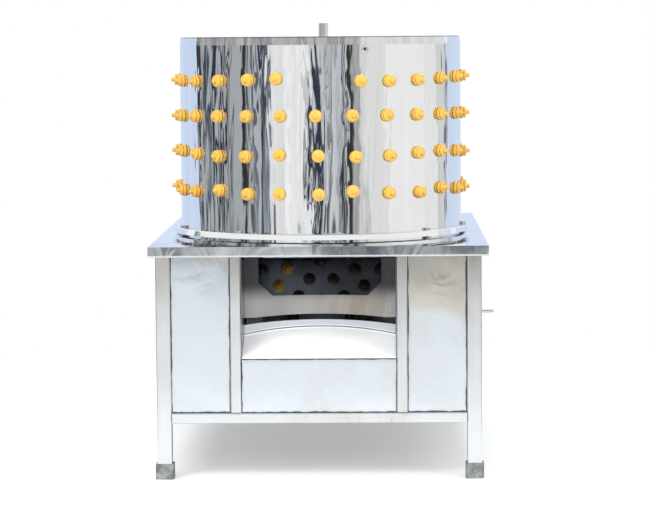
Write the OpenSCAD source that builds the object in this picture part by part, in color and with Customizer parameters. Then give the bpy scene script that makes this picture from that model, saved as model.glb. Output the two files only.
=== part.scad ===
// Drum poultry plucker: a fixed drum lined with rubber fingers stands on a square-tube table,
// a belt-driven finger disc turns in its foot, and feathers leave by a chute at the front.
// X is across, Y runs from the front to the back, Z is up from the floor.

/* [Table and frame] */
// Clear width of the table beside the drum's flange
table_side = 23; // [21:1:45]
// Clear depth of the table in front of the drum's flange
table_front = 6; // [5:1:20]
// Depth of the table behind the motor's axis
motor_room = 195; // [160:1:260]
// Height of the table top above the floor
table_h = 399; // [392:1:430]
// Height of the table's turned-down edge
apron_h = 17.5; // [12:0.5:22]
// Width of the return at the foot of that edge
hem_w = 6; // [3:0.5:8]
// How far the table reaches past the frame
overhang = 11.5; // [9:0.5:14]
// Width of a leg's square tube
leg_w = 25; // [22:1:30]
// Width of the square tube of rails, posts and beams
rail_w = 18; // [15:1:20]
// Wall of the square tubes
tube_t = 1.5; // [1:0.1:2.5]
// Height of the lower rails' underside
rail_z = 95.5; // [85:0.5:100]
// Height of the middle rails' underside
mid_rail_z = 150; // [148:1:156]
// Clear width between the front posts
mouth_w = 266; // [240:1:280]
// Width of a foot cap
foot_w = 31; // [31:0.5:36]
// Height of a foot cap
foot_h = 26; // [18:1:40]
// Thickness of a foot cap's sole
foot_sole = 4; // [2:0.5:8]

/* [Sheet metal] */
// Thickness of the table, drum and chamber sheet
sheet_t = 1.5; // [1:0.1:2]
// Thickness of the panels and the chute sheet
panel_t = 1.2; // [0.8:0.1:1.5]
// How far the panels stand behind the frame's face
panel_inset = 3; // [1.5:0.5:5]

/* [Drum] */
// Outer diameter of the drum
drum_d = 500; // [480:1:506]
// Height of the rim above the table top
drum_h = 354; // [345:1:400]
// Height of the folded band at the rim
hem_h = 14; // [8:1:20]
// How far the band leans inwards
hem_lean = 1.5; // [0:0.5:3]
// Width of the drum's flange
flange_w = 16; // [15.5:0.5:18]
// Thickness of the flange's sheet
flange_t = 2.5; // [2:0.5:3]
// Height of the flange's turned-down edge
skirt_h = 9.5; // [6:0.5:14]
// How far this edge leans inwards towards its top
skirt_lean = 3; // [0:0.5:4]
// Width of the base ring
ring_w = 11.5; // [11:0.5:13]
// Thickness of the base ring
ring_t = 5; // [3:0.5:6]
// Chamfer of the base ring's outer edge
ring_c = 2; // [0.5:0.5:2.5]
// Clear height between the base ring and the flange's edge
flange_gap = 5; // [3:0.5:10]
// Number of bolts through the flange
drum_bolts_n = 9; // [6:1:12]
// Diameter of these bolts
drum_bolt_d = 5; // [4:0.5:5]
// Outer diameter of the water pipe
pipe_d = 18; // [16:1:22]
// Wall of the water pipe
pipe_t = 2; // [1:0.5:3]
// Height of the pipe's end above the rim
pipe_rise = 25; // [15:1:40]
// Depth of the pipe's outlet below the rim
pipe_drop = 36; // [34:1:40]

/* [Fingers] */
// Fingers in one row of the drum
row_n = 25; // [22:1:28]
// Rows of fingers in the drum
rows = 4; // [4:1:4]
// Depth of the top row below the rim
first_row = 73; // [70:1:76]
// Spacing of the rows
row_pitch = 64.3; // [60:0.1:66]
// Diameter of the finger holes
finger_hole_d = 19.4; // [17:0.1:20]
// Largest diameter of the head outside the wall
head_d = 22; // [20.5:0.5:24]
// Length of the head outside the wall
head_l = 16; // [14:0.5:18]
// Thickness of the head's collar at the wall
head_collar = 4.5; // [3.5:0.5:5]
// Width of the groove between the collar and the bead
head_groove = 1.5; // [1.2:0.1:2]
// Thickness of the bead
head_bead = 4; // [3:0.5:4.5]
// Diameter of the nib at the end
nib_d = 7.2; // [5:0.2:9]
// Length of the ribbed part inside the wall
finger_l = 70; // [55:1:74]
// Ribs on one finger
ribs = 6; // [3:1:8]
// How far a hand-punched hole strays from its place
stray = 3; // [0:0.1:3.5]
// Angle by which the middle of the top row stands aside
aside = 2; // [0:0.5:3]

/* [Rotor] */
// Clear gap between the disc's edge and the drum's wall
disc_gap = 9.5; // [8:0.5:14]
// Thickness of the disc
disc_t = 3; // [2:0.5:4]
// Depth of the disc's top below the table top
disc_drop = 7; // [6:0.5:9]
// Radius of the innermost ring of fingers
ring_r = 62; // [61:1:66]
// Spacing of the rings of fingers
ring_pitch = 34; // [32:1:36]
// Fingers in the innermost ring
ring_n = 8; // [6:1:9]
// How many more fingers each further ring has
ring_more = 6; // [4:1:7]
// Rings of fingers on the disc
rings = 5; // [3:1:5]
// Diameter of the disc's hub
hub_d = 90; // [80:1:96]
// Thickness of the hub's flange
hub_t = 8; // [6:1:10]
// Diameter of the main shaft
shaft_d = 30; // [25:1:32]

/* [Chute] */
// Depth of the chute's lip below the table top
lip_drop = 192; // [175:1:196]
// Depth of the chute floor behind the lip at its middle
chute_d = 122; // [110:1:126]
// Rise of the chute floor over that depth
chute_rise = 40; // [30:1:46]
// Radius of the curved rear edge
arc_r = 290; // [250:1:320]
// Height of the rear upstand at its middle
upstand_h = 14; // [10:1:15]
// Height of the open slot above the upstand
slot_h = 8; // [6:0.5:12]
// Rise of the slot over the chute floor's depth
slot_rise = 24; // [18:1:40]
// Height of the curved back below its window
sill_h = 34; // [26:1:40]
// Width of the window in the chute's back
window_w = 214; // [190:1:220]
// Chamfer of the window's lower corners
window_c = 24; // [10:1:30]
// Depth of the slide's steep part
ramp_d = 75; // [65:1:80]
// Clear height between the slide and the finger heads
slide_gap = 10; // [8:1:14]

/* [Drive] */
// Diameter of the bearing housing
housing_d = 84; // [80:1:90]
// Clear height between the bearing housing and the slide
housing_room = 37; // [30:1:50]
// Width of the housing's square foot
foot_plate_w = 140; // [130:1:150]
// Outer diameter of the bearings
bearing_d = 62; // [60:1:66]
// Height of one bearing
bearing_h = 16; // [14:1:20]
// Pitch diameter of the driven pulley
driven_pd = 252; // [220:1:256]
// Pitch diameter of the drive pulley
drive_pd = 63; // [60:1:80]
// Width of both pulleys
pulley_w = 36; // [35:1:38]
// Spacing of the pulley grooves
groove_pitch = 15; // [15:0.5:16]
// Top width of a belt
belt_w = 12.4; // [11:0.1:13]
// Height of a belt
belt_h = 8; // [7:0.5:9]

/* [Motor] */
// Distance of the motor behind the drum's axis
motor_gap = 353; // [345:1:365]
// Diameter of the motor's flange
motor_flange_d = 160; // [156:1:166]
// Diameter over the cooling fins
fin_d = 150; // [144:1:154]
// Number of cooling fins
fin_n = 24; // [12:1:32]
// Clear height between the fan cover and the table
motor_head = 19.5; // [12:0.5:40]
// Diameter of the motor shaft
motor_shaft_d = 19; // [16:1:20]
// Height of the fan cover
fan_cover_h = 48; // [44:1:52]

/* [Switch and fittings] */
// Distance of the switch behind the table's middle
switch_y = 150; // [120:1:180]
// Depth of the switch's middle below the table top
switch_drop = 79; // [76:1:95]
// Diameter of a push button
button_d = 22; // [18:1:26]
// Travel of a push button
button_travel = 4; // [2:0.5:6]
// Distance of the cable gland left of the middle
gland_x = 150; // [120:1:180]
// Height of the cable gland above the floor
gland_z = 200; // [150:1:240]
// Bore of the cable gland
gland_bore = 9; // [7:0.5:10]
// Height of the stud on the right front leg
stud_z = 285; // [250:1:320]
// Length of that stud
stud_l = 20; // [10:1:22]
// Diameter of that stud
stud_d = 5; // [4:0.5:6]

/* [Hidden] */
$fn = 64;
over = 1;
fit = 0.3;
close = 0.05;
steel = [0.78, 0.80, 0.82];
bright = [0.86, 0.87, 0.88];
rubber = [0.95, 0.66, 0.10];
dark = [0.22, 0.23, 0.25];
zinc = [0.70, 0.71, 0.72];
motor_paint = [0.25, 0.37, 0.42];

// Table
table_w = drum_d + 2 * (flange_w + table_side);
drum_setback = drum_d / 2 + flange_w + table_front;
table_d = drum_setback + motor_gap + motor_room;

// Frame
frame_w = table_w - 2 * overhang;
frame_d = table_d - 2 * overhang;
front_y = -frame_d / 2;
inner_x = frame_w / 2 - leg_w;
inner_y = frame_d / 2 - leg_w;
table_z = table_h - sheet_t;
rail_top = rail_z + rail_w;
beam_top = mid_rail_z + rail_w;
panel_x = frame_w / 2 - panel_inset - panel_t;
post_x = mouth_w / 2 + rail_w / 2;
corner_r = 2;

// Drum
axis_y = -table_d / 2 + drum_setback;
drum_r = drum_d / 2;
rim_z = table_h + drum_h;
ring_z = table_h + ring_t;
skirt_z = ring_z + flange_gap;
flange_z = skirt_z + skirt_h - flange_t;
flange_r = drum_r + flange_w;
skirt_r = flange_r - skirt_lean;
ring_r_out = drum_r + ring_w;
bolt_r = drum_r + drum_bolt_d;
bolt_turn = 360 / drum_bolts_n;
bolt_start = 7.7;
hex_drum = 1.6 * drum_bolt_d;
head_drum = 0.7 * drum_bolt_d;
nut_drum = 0.8 * drum_bolt_d;
pipe_z = rim_z - pipe_drop;
pipe_bend = pipe_d + 4;
pipe_stand = 8;
pipe_collar = 4;

// Chamber and slide
hole_r = drum_r - sheet_t + fit;
disc_r = drum_r - sheet_t - disc_gap;
disc_z = table_h - disc_drop - disc_t;
heads_z = disc_z - head_l - close;
slide_z = heads_z - slide_gap;
slide_tilt = 0.6;
slide_r = hole_r - 2 * fit;
chamber_z = slide_z - 12;
chute_half = mouth_w / 2 - fit - panel_t;

// Chute
lip_z = table_h - lip_drop;
apex_y = front_y + chute_d;
arc_y = apex_y - arc_r;
sill_z = lip_z + chute_rise + upstand_h + slot_h + sill_h;
back_r = arc_r + 6;
back_half = window_w / 2 + 7;
cheek_z = heads_z - 3;
ramp_y = arc_y + back_r + panel_t + fit;
lip_fold = 6;
lip_reach = 2;

// Drive
wheel_top = mid_rail_z - 9;
wheel_z = wheel_top - pulley_w;
seat_d = shaft_d - 5;
thread_d = 20;
beam_y = foot_plate_w / 2 - 15;
housing_foot_t = 10;
bearing_rise = 4;
cap_t = 8;
housing_h = slide_z - housing_room - cap_t - beam_top;
housing_top = beam_top + housing_h;
hub_boss_d = 48;
hub_boss_h = 11;
hub_bolt_r = 33;
hub_bolt_d = 8;
collar_h = 4;
collar_d = shaft_d + 8;
groove_above = 2.75;
groove_depth = 11;
groove_tan = tan(19);
driven_r = driven_pd / 2 + groove_above;
drive_r = drive_pd / 2 + groove_above;
belt_sink = 0.2;
belt_slack = 0.35;
key_w = 8;
key_h = 7;
key_l = 28;
shoulder_d = shaft_d + 6;
hub_key_z = disc_z - hub_t - hub_boss_h;
hub_key_l = hub_t + hub_boss_h;
wheel_key_z = wheel_z + (pulley_w - key_l) / 2;

// Motor
motor_y = axis_y + motor_gap;
plate_t = 8;
plate_w = 200;
motor_beam_y = motor_flange_d / 2 + rail_w / 2 + 6;
plate_d = 2 * motor_beam_y + rail_w + 10;
shield_t = 10;
shield_z = mid_rail_z + shield_t;
housing_l = table_z - motor_head - fan_cover_h - shield_z;
can_top = shield_z + housing_l;
can_d = fin_d - 30;
bore_d = 80;
air_gap = 0.5;
end_t = 8;
plate_bolt_d = 8;
flange_bolt_pc = motor_flange_d - 22;
cover_lap = 10;

// Switch
face_x = -panel_x - panel_t;
switch_z = table_h - switch_drop;
switch_depth = 38;
switch_half_y = 25;
switch_half_z = 46;
bezel_t = 3;
bezel_lip = 5;
button_gap = 44;
button_out = button_travel + 7;

// Plain shapes shared by several pieces

module rounded_square(w, r) {
    square([w, w - 2 * r], center = true);
    square([w - 2 * r, w], center = true);
    for (x = [-1, 1])
        for (y = [-1, 1])
            translate([x * (w / 2 - r), y * (w / 2 - r)])
                circle(r = r);
}

module square_tube(w, l) {
    difference() {
        linear_extrude(l)
            rounded_square(w, corner_r);
        translate([-w / 2 + tube_t, -w / 2 + tube_t, -over])
            cube([w - 2 * tube_t, w - 2 * tube_t, l + 2 * over]);
    }
}

module tube_x(x0, x1, y, z) {
    translate([x0, y, z + rail_w / 2])
        rotate([0, 90, 0])
            square_tube(rail_w, x1 - x0);
}

module tube_y(y0, y1, x, z) {
    translate([x, y0, z + rail_w / 2])
        rotate([-90, 0, 0])
            square_tube(rail_w, y1 - y0);
}

// Extrudes an outline drawn in Y and Z across the machine, half to each side
module across(half, points) {
    translate([-half, 0, 0])
        rotate([90, 0, 90])
            linear_extrude(2 * half)
                polygon(points);
}

module slab(x0, x1, y0, y1, z0, z1) {
    translate([x0, y0, z0])
        cube([x1 - x0, y1 - y0, z1 - z0]);
}

module on_axis(z = 0) {
    translate([0, axis_y, z])
        children();
}

module hex_bolt(d, l, af, head) {
    cylinder(h = l, d = d);
    translate([0, 0, l])
        cylinder(h = head, d = af / cos(30), $fn = 6);
}

module hex_nut(d, af, h) {
    difference() {
        cylinder(h = h, d = af / cos(30), $fn = 6);
        translate([0, 0, -over])
            cylinder(h = h + 2 * over, d = d + 4 * close);
    }
}

// Frame

module leg(sx, sy) {
    color(steel)
        translate([sx * (frame_w - leg_w) / 2, sy * (frame_d - leg_w) / 2, foot_sole])
            square_tube(leg_w, table_z - foot_sole);
}

module front_left_leg() {
    leg(-1, -1);
}

module front_right_leg() {
    leg(1, -1);
}

module rear_left_leg() {
    leg(-1, 1);
}

module rear_right_leg() {
    leg(1, 1);
}

module feet() {
    pocket = leg_w + 2 * fit;
    color(dark)
        for (sx = [-1, 1])
            for (sy = [-1, 1])
                translate([sx * (frame_w - leg_w) / 2, sy * (frame_d - leg_w) / 2, 0])
                    difference() {
                        linear_extrude(foot_h)
                            rounded_square(foot_w, corner_r + fit);
                        translate([-pocket / 2, -pocket / 2, foot_sole])
                            cube([pocket, pocket, foot_h]);
                    }
}

module front_rail() {
    color(steel)
        tube_x(-inner_x, inner_x, front_y + rail_w / 2, rail_z);
}

module rear_rail() {
    color(steel)
        tube_x(-inner_x, inner_x, -front_y - rail_w / 2, rail_z);
}

module side_rails() {
    color(steel)
        for (s = [-1, 1])
            tube_y(-inner_y, inner_y, s * (frame_w - rail_w) / 2, rail_z);
}

module front_posts() {
    color(steel)
        for (s = [-1, 1])
            translate([s * post_x, front_y + rail_w / 2, rail_top])
                square_tube(rail_w, table_z - rail_top);
}

module top_rails() {
    color(steel) {
        for (s = [-1, 1])
            tube_y(-inner_y, inner_y, s * (frame_w - rail_w) / 2, table_z - rail_w);
        tube_x(-inner_x, inner_x, -front_y - rail_w / 2, table_z - rail_w);
    }
}

module mid_rails() {
    color(steel)
        for (s = [-1, 1])
            tube_y(-inner_y, inner_y, s * (panel_x - rail_w / 2), mid_rail_z);
}

module beam_pair(y, spread, bolt_x, bolt_d) {
    reach = panel_x - rail_w;
    for (s = [-1, 1])
        difference() {
            tube_x(-reach, reach, y + s * spread, mid_rail_z);
            for (x = [-bolt_x, bolt_x])
                translate([x, y + s * spread, mid_rail_z - over])
                    cylinder(h = rail_w + 2 * over, d = bolt_d + 4 * close);
        }
}

module drive_beams() {
    color(steel)
        beam_pair(axis_y, beam_y, beam_y, plate_bolt_d);
}

module motor_beams() {
    color(steel)
        beam_pair(motor_y, motor_beam_y, plate_w / 2 - 20, plate_bolt_d);
}

// Table and panels

module bolt_places() {
    for (i = [0 : drum_bolts_n - 1])
        on_axis()
            rotate(bolt_start - 90 + i * bolt_turn)
                translate([bolt_r, 0, 0])
                    children();
}

module drum_bolt_holes(z0, z1) {
    bolt_places()
        translate([0, 0, z0 - over])
            cylinder(h = z1 - z0 + 2 * over, d = drum_bolt_d + 2 * fit, $fn = 24);
}

module table_top() {
    x = table_w / 2;
    y = table_d / 2;
    z = table_h - apron_h;
    color(bright)
        difference() {
            slab(-x, x, -y, y, z, table_h);
            slab(-x + sheet_t, x - sheet_t, -y + sheet_t, y - sheet_t, z + sheet_t, table_z);
            slab(-x + hem_w, x - hem_w, -y + hem_w, y - hem_w, z - over, z + 2 * sheet_t);
            on_axis(z - over)
                cylinder(h = apron_h + 2 * over, r = hole_r, $fn = 128);
            drum_bolt_holes(table_z, table_h);
        }
}

module front_side_panel() {
    x0 = post_x + rail_w / 2 + fit;
    x1 = inner_x - fit;
    y = front_y + panel_inset;
    color(bright)
        slab(x0, x1, y, y + panel_t, rail_top + fit, table_z - fit);
}

module front_left_panel() {
    mirror([1, 0, 0])
        front_side_panel();
}

module front_right_panel() {
    front_side_panel();
}

module front_lower_panel() {
    x = mouth_w / 2 - fit;
    y = front_y + lip_reach;
    color(bright)
        slab(-x, x, y, y + panel_t, rail_top + fit, lip_z - 2 * sheet_t);
}

module side_panel() {
    slab(panel_x, panel_x + panel_t, -inner_y + fit, inner_y - fit, rail_top + fit, table_z - rail_w - fit);
}

module left_panel() {
    y = switch_half_y + fit;
    z = switch_half_z + fit;
    color(bright)
        difference() {
            mirror([1, 0, 0])
                side_panel();
            slab(-panel_x - panel_t - over, -panel_x + over, switch_y - y, switch_y + y,
                 switch_z - z, switch_z + z);
        }
}

module right_panel() {
    color(bright)
        side_panel();
}

module rear_panel() {
    y = -front_y - panel_inset - panel_t;
    vent_n = 6;
    vent_w = 120;
    vent_h = 6;
    color(bright)
        difference() {
            slab(-inner_x + fit, inner_x - fit, y, y + panel_t, rail_top + fit, table_z - rail_w - fit);
            for (i = [0 : vent_n - 1])
                slab(-vent_w / 2, vent_w / 2, y - over, y + panel_t + over,
                     beam_top + (2 + 2 * i) * vent_h, beam_top + (3 + 2 * i) * vent_h);
            translate([-gland_x, y - over, gland_z])
                rotate([-90, 0, 0])
                    cylinder(h = panel_t + 2 * over, d = gland_bore + 7 + 2 * fit);
        }
}

// Chute and feather chamber

// Height of the chute floor at a place behind the lip
function floor_z(y) = lip_z + chute_rise * (y - front_y) / chute_d;

// Height of the slot's lower edge at a place behind the lip
function slot_z(y) = floor_z(apex_y) + upstand_h - slot_rise * (apex_y - y) / chute_d;

module arc_cylinder(r) {
    translate([0, arc_y, 0])
        cylinder(h = table_h, r = r, $fn = 128);
}

module chute_floor() {
    half = chute_half - fit;
    back = apex_y + over;
    nose = front_y - lip_reach;
    floor_points = [
        [nose, lip_z - lip_fold], [nose + sheet_t, lip_z - lip_fold], [nose + sheet_t, lip_z - sheet_t],
        [front_y, lip_z - sheet_t], [back, floor_z(back) - sheet_t], [back, floor_z(back)],
        [front_y, lip_z], [nose, lip_z]
    ];
    upstand_points = [
        [front_y, lip_z - sheet_t], [back, floor_z(back) - sheet_t],
        [back, slot_z(back)], [front_y, slot_z(front_y)]
    ];
    color(bright) {
        intersection() {
            across(half, floor_points);
            arc_cylinder(arc_r);
        }
        intersection() {
            across(half, upstand_points);
            difference() {
                arc_cylinder(arc_r);
                arc_cylinder(arc_r - panel_t);
            }
        }
    }
}

module chute_sides() {
    front = front_y + lip_reach + panel_t + fit;
    break_y = axis_y - sqrt(pow(ring_r_out, 2) - pow(chute_half, 2)) - fit;
    rear = ramp_y + ramp_d - panel_t;
    drop = 10;
    points = [
        [front, lip_z - drop], [rear, floor_z(rear) - drop], [rear, cheek_z], [break_y, cheek_z],
        [break_y, table_z - fit], [front, table_z - fit]
    ];
    color(bright)
        for (s = [0, 1])
            mirror([s, 0, 0])
                translate([chute_half + panel_t / 2, 0, 0])
                    across(panel_t / 2, points);
}

module chute_back() {
    w = window_w / 2;
    flat_y = arc_y + sqrt(pow(back_r, 2) - pow(back_half, 2));
    rear = arc_y + 2 * back_r;
    low = slot_z(front_y) + slot_h;
    color(bright)
        difference() {
            union() {
                intersection() {
                    difference() {
                        arc_cylinder(back_r + panel_t);
                        arc_cylinder(back_r);
                    }
                    slab(-back_half, back_half, arc_y, rear, low, cheek_z);
                }
                for (s = [0, 1])
                    mirror([s, 0, 0])
                        slab(back_half - panel_t, chute_half - fit, flat_y, flat_y + panel_t, low, cheek_z);
            }
            across(chute_half, [
                [front_y, low - over], [rear, low - over], [rear, slot_z(rear) + slot_h], [front_y, low]
            ]);
            translate([0, 0, sill_z])
                rotate([90, 0, 0])
                    linear_extrude(4 * arc_r, center = true)
                        polygon([
                            [-w + window_c, 0], [w - window_c, 0], [w, window_c], [w, table_h],
                            [-w, table_h], [-w, window_c]
                        ]);
        }
}

module feather_slide() {
    half = chute_half - fit;
    ramp_end = ramp_y + ramp_d;
    foot_z = sill_z - 3;
    ledge_half = back_half - panel_t - fit;
    collar_r = collar_d / 2;
    color(bright) {
        across(half, [
            [ramp_y, foot_z - panel_t], [ramp_y, foot_z], [ramp_end, slide_z],
            [ramp_end, slide_z - 2 * panel_t]
        ]);
        difference() {
            slab(-ledge_half, ledge_half, ramp_y - 2 * window_c, ramp_y + panel_t / 2,
                 foot_z - panel_t, foot_z);
            arc_cylinder(back_r + panel_t + fit);
        }
        difference() {
            translate([0, ramp_end, slide_z - panel_t])
                rotate([slide_tilt, 0, 0])
                    translate([0, axis_y - ramp_end, 0])
                        union() {
                            cylinder(h = panel_t, r = slide_r, $fn = 128);
                            cylinder(h = collar_h, r = collar_r);
                        }
            slab(-half - 2 * panel_t, half + 2 * panel_t, axis_y - 2 * drum_r, ramp_end - panel_t,
                 chamber_z - 2 * drum_r, table_h);
            on_axis()
                cylinder(h = table_h, r = collar_r - 1.5);
        }
    }
}

module chamber_wall() {
    ring_bottom = table_z - sheet_t;
    half = mouth_w / 2 + fit;
    flat_x = frame_w / 2 - rail_w - fit;
    color(steel)
        difference() {
            union() {
                on_axis(chamber_z)
                    cylinder(h = table_z - chamber_z, r = hole_r + sheet_t, $fn = 128);
                intersection() {
                    on_axis(ring_bottom)
                        cylinder(h = sheet_t, r = ring_r_out, $fn = 128);
                    slab(-flat_x, flat_x, axis_y - 2 * drum_r, axis_y + 2 * drum_r, chamber_z, table_z);
                }
            }
            on_axis(chamber_z - over)
                cylinder(h = table_h, r = hole_r, $fn = 128);
            slab(-half, half, axis_y - 2 * drum_r, axis_y, chamber_z - over, ring_bottom);
            drum_bolt_holes(ring_bottom, table_z);
        }
}

// Drum and its fingers

// A small fixed waver, the same on every run, for the hand-punched holes
function waver(i, j) = sin(127 * (i + 1) + 311 * j + 53 * i * j);

function finger_count(row) = row == 0 ? row_n - 1 : row_n;

function finger_turn(row, k) =
    let (j = row == 0 ? k + 1 : k)
    let (spread = row == 0 ? (j == 1 ? aside : (j == row_n - 1 ? -aside : 0)) : 0)
    -90 + j * 360 / row_n + spread + stray * waver(row, j) / drum_r * 180 / PI;

function finger_height(row, k) = rim_z - first_row - row * row_pitch + stray * waver(row + 7, k);

// Places its child on the drum's wall, with Z pointing outwards
module on_wall(row, k) {
    on_axis(finger_height(row, k))
        rotate(finger_turn(row, k))
            translate([drum_r, 0, 0])
                rotate([0, 90, 0])
                    children();
}

// Outline of one finger: Z is zero at the outer face of a wall of thickness t
function finger_outline(t) =
    let (neck = finger_hole_d / 2 - 2 * close)
    let (seat = -t - 2 * fit)
    let (shoulder = finger_hole_d / 2 + 2)
    let (root = neck - 0.6)
    let (tip = 0.58 * neck)
    let (step = (finger_l - 12) / ribs)
    let (grow = (root - tip) / ribs)
    let (rim = head_d / 2)
    let (bead = rim - 1)
    let (nib = nib_d / 2)
    let (bead_z = head_collar + head_groove)
    let (nib_z = bead_z + head_bead)
    concat(
        [[0, seat - finger_l], [tip - 1.6, seat - finger_l], [tip, seat - finger_l + 2.4]],
        [
            for (i = [0 : ribs - 1])
                for (p = [[-0.1, 0.35], [0.9, 0.62], [0.9, 0.85], [-0.1, 1.1]])
                    [tip + i * grow + p[0], seat - finger_l + 2.4 + (i + p[1]) * step]
        ],
        [
            [root, seat - 6], [shoulder, seat - 5], [shoulder, seat], [neck, seat],
            [neck, close], [rim - 1, close], [rim, 1], [rim, head_collar - 1], [rim - 1, head_collar],
            [rim - 3, head_collar + 0.3], [rim - 3, bead_z - 0.3], [bead - 0.9, bead_z],
            [bead, bead_z + 0.9], [bead, nib_z - 1.8], [bead - 1.8, nib_z - 0.5], [nib + 1, nib_z],
            [nib, nib_z + 0.9], [nib, head_l - 1.2], [nib - 1.2, head_l], [0, head_l]
        ]
    );

module finger(t) {
    rotate_extrude($fn = 24)
        polygon(finger_outline(t));
}

module finger_row(row) {
    color(rubber)
        for (k = [0 : finger_count(row) - 1])
            on_wall(row, k)
                finger(sheet_t);
}

module drum_fingers_1() {
    finger_row(0);
}

module drum_fingers_2() {
    finger_row(1);
}

module drum_fingers_3() {
    finger_row(2);
}

module drum_fingers_4() {
    finger_row(3);
}

module drum() {
    r = drum_r;
    t = sheet_t;
    hem_z = rim_z - hem_h;
    color(bright)
        difference() {
            on_axis()
                rotate_extrude($fn = 180)
                    polygon([
                        [r - t, table_h], [r, table_h], [r, flange_z], [skirt_r - t, flange_z],
                        [flange_r - t, skirt_z], [flange_r, skirt_z], [skirt_r, flange_z + flange_t / 2],
                        [skirt_r - flange_t / 2, flange_z + flange_t], [r, flange_z + flange_t], [r, hem_z],
                        [r - hem_lean, rim_z], [r - hem_lean - t, rim_z], [r - t, hem_z]
                    ]);
            for (row = [0 : rows - 1])
                for (k = [0 : finger_count(row) - 1])
                    on_wall(row, k)
                        translate([0, 0, -10])
                            cylinder(h = 20, d = finger_hole_d);
            on_axis(pipe_z)
                rotate([-90, 0, 0])
                    cylinder(h = flange_r, d = pipe_d + 2 * fit);
            drum_bolt_holes(flange_z, flange_z + flange_t);
        }
}

module base_ring() {
    color(bright)
        difference() {
            on_axis()
                rotate_extrude($fn = 128)
                    polygon([
                        [drum_r + fit, table_h], [ring_r_out, table_h], [ring_r_out, ring_z - ring_c],
                        [ring_r_out - ring_c, ring_z], [drum_r + fit, ring_z]
                    ]);
            drum_bolt_holes(table_h, ring_z);
        }
}

module flange_spacers() {
    color(zinc)
        bolt_places()
            translate([0, 0, ring_z])
                difference() {
                    cylinder(h = flange_z - ring_z, d = 2 * (bolt_r - drum_r) - 2 * fit);
                    translate([0, 0, -over])
                        cylinder(h = flange_z - ring_z + 2 * over, d = drum_bolt_d + 2 * fit);
                }
}

module drum_bolts() {
    nut_z = table_z - sheet_t - nut_drum;
    foot_z = nut_z - 2;
    color(zinc)
        bolt_places() {
            translate([0, 0, foot_z])
                hex_bolt(drum_bolt_d, flange_z + flange_t - foot_z, hex_drum, head_drum);
            translate([0, 0, nut_z])
                hex_nut(drum_bolt_d, hex_drum, nut_drum);
        }
}

// The pipe's centre line: in through the drum's back wall, round a bend and up past the rim
module pipe_core(d) {
    wall_y = drum_r - pipe_stand - 6;
    bend_y = drum_r + pipe_stand;
    on_axis(pipe_z) {
        translate([0, wall_y, 0])
            rotate([-90, 0, 0])
                cylinder(h = bend_y - wall_y, d = d);
        translate([0, bend_y, pipe_bend])
            rotate([0, 90, 0])
                rotate_extrude(angle = 90)
                    translate([pipe_bend, 0])
                        circle(d = d);
        translate([0, bend_y + pipe_bend, pipe_bend])
            cylinder(h = pipe_drop + pipe_rise - pipe_bend, d = d);
    }
}

module pipe_ring(y0, y1, d) {
    on_axis(pipe_z)
        translate([0, y0, 0])
            rotate([-90, 0, 0])
                cylinder(h = y1 - y0, d = d);
}

module water_pipe() {
    nut_y = drum_r - sheet_t - 2 * fit;
    collar_y = drum_r + close;
    color(zinc) {
        difference() {
            union() {
                pipe_core(pipe_d);
                pipe_ring(collar_y, collar_y + pipe_collar, pipe_d + 8);
            }
            pipe_core(pipe_d - 2 * pipe_t);
            pipe_ring(0, drum_r - pipe_stand, pipe_d - 2 * pipe_t);
            on_axis(rim_z)
                translate([0, drum_r + pipe_stand + pipe_bend, 0])
                    cylinder(h = pipe_rise + over, d = pipe_d - 2 * pipe_t);
        }
        difference() {
            pipe_ring(nut_y - pipe_collar, nut_y, pipe_d + 8);
            pipe_ring(0, drum_r, pipe_d + 4 * close);
        }
    }
}

// Rotor

module ring_places(ring) {
    n = ring_n + ring_more * ring;
    start = ring % 2 == 0 ? 0 : 180 / n;
    for (i = [0 : n - 1])
        on_axis(disc_z)
            rotate(-90 + start + i * 360 / n)
                translate([ring_r + ring * ring_pitch, 0, 0])
                    children();
}

module hub_bolt_places(z) {
    for (i = [0 : 3])
        on_axis(z)
            rotate(45 + 90 * i)
                translate([hub_bolt_r, 0, 0])
                    children();
}

module rotor_disc() {
    color(bright)
        difference() {
            on_axis(disc_z)
                cylinder(h = disc_t, r = disc_r, $fn = 128);
            for (ring = [0 : rings - 1])
                ring_places(ring)
                    translate([0, 0, -over])
                        cylinder(h = disc_t + 2 * over, d = finger_hole_d);
            on_axis(disc_z - over)
                cylinder(h = disc_t + 2 * over, d = thread_d + 2 * fit);
            hub_bolt_places(disc_z - over)
                cylinder(h = disc_t + 2 * over, d = hub_bolt_d + 2 * fit);
        }
}

module disc_fingers() {
    color(rubber)
        for (ring = [0 : rings - 1])
            ring_places(ring)
                rotate([180, 0, 0])
                    finger(disc_t);
}

module shaft_key(z, d) {
    on_axis(z)
        translate([-key_w / 2, d / 2 - key_h / 2 - 0.5, 0])
            cube([key_w, key_h, key_l]);
}

module keyway(z, d, l) {
    on_axis(z)
        translate([-key_w / 2 - close, d / 2 - key_h / 2 - 0.5 - close, 0])
            cube([key_w + 2 * close, key_h + 2 * close, l]);
}

module disc_hub() {
    color(zinc)
        difference() {
            union() {
                on_axis(disc_z - hub_t)
                    cylinder(h = hub_t, d = hub_d);
                on_axis(hub_key_z)
                    cylinder(h = hub_boss_h + over, d = hub_boss_d);
            }
            on_axis(hub_key_z - over)
                cylinder(h = hub_key_l + 2 * over, d = shaft_d + 2 * close);
            keyway(hub_key_z - over, shaft_d, hub_key_l + 2 * over);
            hub_bolt_places(disc_z - hub_t - over)
                cylinder(h = hub_t + 2 * over, d = hub_bolt_d + 2 * fit);
        }
}

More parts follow.
